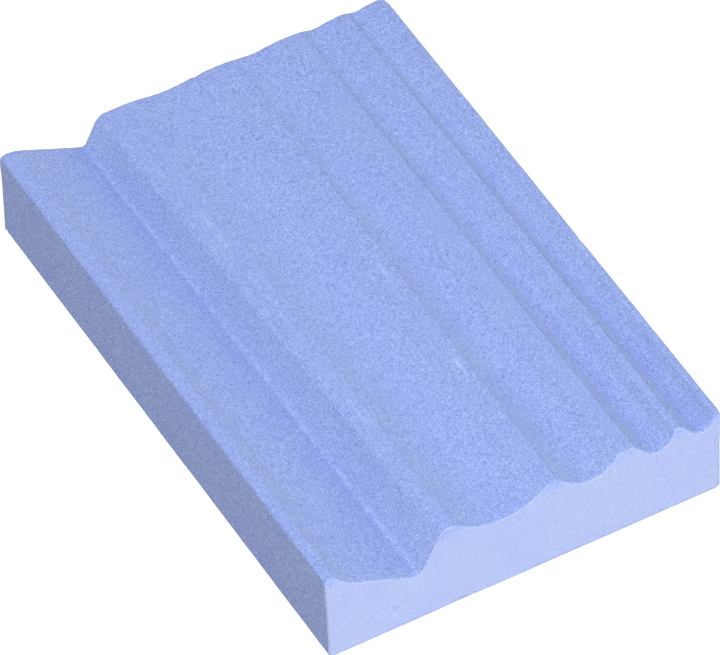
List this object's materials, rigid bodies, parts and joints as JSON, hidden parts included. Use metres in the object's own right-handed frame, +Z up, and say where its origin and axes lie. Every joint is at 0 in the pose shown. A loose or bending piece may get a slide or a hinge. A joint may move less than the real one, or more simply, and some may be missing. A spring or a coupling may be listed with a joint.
{
  "type": "profiled slip stone",
  "caption": "Rectangular block of blue abrasive with a V-groove and round-bottomed flutes along its top, deep at one end and shallow at the other, for honing V-tools and gouges.",
  "frame": {"origin": "middle of the flat base", "axes": "+Z up out of the grooved face, +Y along the grooves from their deep end to their shallow end, +X across from the V-groove to the narrowest flute"},
  "size_m": [0.1, 0.15, 0.025],
  "materials": {
    "abrasive_stone": "matte"
  },
  "bodies": {
    "root": {"profiled_stone": "abrasive_stone"}
  },
  "joints": []
}
